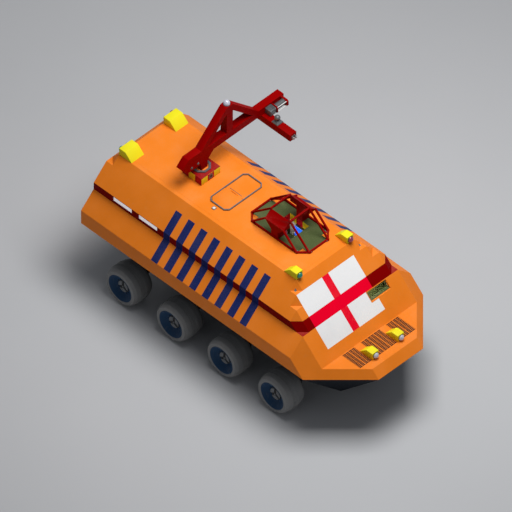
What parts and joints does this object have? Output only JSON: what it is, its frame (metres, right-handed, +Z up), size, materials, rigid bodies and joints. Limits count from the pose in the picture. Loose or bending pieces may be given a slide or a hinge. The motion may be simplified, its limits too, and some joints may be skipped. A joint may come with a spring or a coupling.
{
  "type": "amphibious rescue vehicle",
  "caption": "Wheeled amphibious rescue vehicle with a faceted boat-shaped hull, roof crane with winch, framed cockpit canopy and sliding roof hatch.",
  "frame": {"origin": "centre of the flat keel plate, on the centreline at the underside of the hull; the wheels reach 0.5 m below it", "axes": "+X forward to the bow, +Y to port, +Z up"},
  "size_m": [10.3043, 5.6, 6.1273],
  "materials": {
    "orange_paint": "satin hull paint, lightly worn",
    "red_paint": "satin dark red paint",
    "black_paint": "matt blue-black underbody coating",
    "green_floor": "non-slip deck coating",
    "yellow_paint": "satin safety yellow",
    "grey_metal": "dull grey steel",
    "white_lamp": "opal white lens",
    "rim_paint": "dark blue wheel enamel",
    "tyre": "smooth grey flotation rubber",
    "seat": "dark helm seat cover"
  },
  "bodies": {
    "hull": {"lower_hull": "orange_paint", "upper_hull": "orange_paint", "roof_deck": "orange_paint", "belt": "red_paint", "canopy_frame": "red_paint", "keel_hull": "black_paint", "bow_grille_starboard": "black_paint", "bow_grille_middle": "black_paint", "bow_grille_port": "black_paint", "helm_console": "black_paint", "cabin_floor": "green_floor", "cockpit_tub": "green_floor", "stern_lamp_starboard": "yellow_paint", "stern_lamp_port": "yellow_paint", "roof_lamp_starboard": "yellow_paint", "roof_lamp_port": "yellow_paint", "bow_lamp_starboard": "yellow_paint", "bow_lamp_port": "yellow_paint", "crane_base": "yellow_paint", "hatch_frame": "grey_metal", "slew_ring": "grey_metal", "axle_1": "grey_metal", "axle_2": "grey_metal", "axle_3": "grey_metal", "axle_4": "grey_metal", "hatch_button": "white_lamp", "driver_seat": "seat"},
    "knuckle_3_starboard_body": {"knuckle_3_starboard": "grey_metal"},
    "knuckle_3_port_body": {"knuckle_3_port": "grey_metal"},
    "knuckle_4_starboard_body": {"knuckle_4_starboard": "grey_metal"},
    "knuckle_4_port_body": {"knuckle_4_port": "grey_metal"},
    "wheel_1_starboard": {"tyre_1_starboard": "tyre", "rim_1_starboard": "rim_paint"},
    "wheel_1_port": {"tyre_1_port": "tyre", "rim_1_port": "rim_paint"},
    "wheel_2_starboard": {"tyre_2_starboard": "tyre", "rim_2_starboard": "rim_paint"},
    "wheel_2_port": {"tyre_2_port": "tyre", "rim_2_port": "rim_paint"},
    "wheel_3_starboard": {"tyre_3_starboard": "tyre", "rim_3_starboard": "rim_paint"},
    "wheel_3_port": {"tyre_3_port": "tyre", "rim_3_port": "rim_paint"},
    "wheel_4_starboard": {"tyre_4_starboard": "tyre", "rim_4_starboard": "rim_paint"},
    "wheel_4_port": {"tyre_4_port": "tyre", "rim_4_port": "rim_paint"},
    "crane_arm": {"boom": "red_paint", "boom_lamp": "white_lamp", "winch_frame": "grey_metal"},
    "drum": {"winch_drum": "grey_metal"},
    "jib_arm": {"jib": "red_paint", "camera_dome": "grey_metal"},
    "hatch": {"hatch_panel": "orange_paint"},
    "ramp": {"rear_ramp": "orange_paint"}
  },
  "joints": [
    {"name": "steer_4_starboard", "type": "hinge", "parent": "hull", "child": "knuckle_4_starboard_body", "pos_m": [2.5, -1.575, 0.125], "axis": [0, 0, 1], "range_deg": [-20, 20]},
    {"name": "steer_4_port", "type": "hinge", "parent": "hull", "child": "knuckle_4_port_body", "pos_m": [2.5, 1.575, 0.125], "axis": [0, 0, 1], "range_deg": [-20, 20]},
    {"name": "steer_3_starboard", "type": "hinge", "parent": "hull", "child": "knuckle_3_starboard_body", "pos_m": [0.5, -1.575, 0.125], "axis": [0, 0, 1], "range_deg": [-12, 12]},
    {"name": "steer_3_port", "type": "hinge", "parent": "hull", "child": "knuckle_3_port_body", "pos_m": [0.5, 1.575, 0.125], "axis": [0, 0, 1], "range_deg": [-12, 12]},
    {"name": "spin_1_starboard", "type": "hinge", "parent": "hull", "child": "wheel_1_starboard", "pos_m": [-3.5, -2.1, 0.125], "axis": [0, 1, 0], "continuous": true},
    {"name": "spin_1_port", "type": "hinge", "parent": "hull", "child": "wheel_1_port", "pos_m": [-3.5, 2.1, 0.125], "axis": [0, 1, 0], "continuous": true},
    {"name": "spin_2_starboard", "type": "hinge", "parent": "hull", "child": "wheel_2_starboard", "pos_m": [-1.5, -2.1, 0.125], "axis": [0, 1, 0], "continuous": true},
    {"name": "spin_2_port", "type": "hinge", "parent": "hull", "child": "wheel_2_port", "pos_m": [-1.5, 2.1, 0.125], "axis": [0, 1, 0], "continuous": true},
    {"name": "spin_3_starboard", "type": "hinge", "parent": "knuckle_3_starboard_body", "child": "wheel_3_starboard", "pos_m": [0.5, -2.1, 0.125], "axis": [0, 1, 0], "continuous": true},
    {"name": "spin_3_port", "type": "hinge", "parent": "knuckle_3_port_body", "child": "wheel_3_port", "pos_m": [0.5, 2.1, 0.125], "axis": [0, 1, 0], "continuous": true},
    {"name": "spin_4_starboard", "type": "hinge", "parent": "knuckle_4_starboard_body", "child": "wheel_4_starboard", "pos_m": [2.5, -2.1, 0.125], "axis": [0, 1, 0], "continuous": true},
    {"name": "spin_4_port", "type": "hinge", "parent": "knuckle_4_port_body", "child": "wheel_4_port", "pos_m": [2.5, 2.1, 0.125], "axis": [0, 1, 0], "continuous": true},
    {"name": "crane_slew", "type": "hinge", "parent": "hull", "child": "crane_arm", "pos_m": [-2.75, 0, 3.75], "axis": [0, 0, 1], "range_deg": [-30, 200]},
    {"name": "jib_swing", "type": "hinge", "parent": "crane_arm", "child": "jib_arm", "pos_m": [-2.75, 2.375, 4.125], "axis": [0, 0, 1], "range_deg": [-50, 10]},
    {"name": "drum_spin", "type": "hinge", "parent": "crane_arm", "child": "drum", "pos_m": [-2.5, 2.81125, 4.3675], "axis": [0, 1, 0], "continuous": true},
    {"name": "hatch_slide", "type": "slide", "parent": "hull", "child": "hatch", "axis": [0, 1, 0], "range_m": [0, 0.7]},
    {"name": "ramp_hinge", "type": "hinge", "parent": "hull", "child": "ramp", "pos_m": [-5.145, 0, 1.645], "axis": [0, -1, 0], "range_deg": [0, 100]}
  ],
  "couplings": [
    {"joint": "steer_4_port", "follows": "steer_4_starboard", "ratio": 1},
    {"joint": "steer_3_starboard", "follows": "steer_4_starboard", "ratio": 0.6},
    {"joint": "steer_3_port", "follows": "steer_4_starboard", "ratio": 0.6}
  ]
}
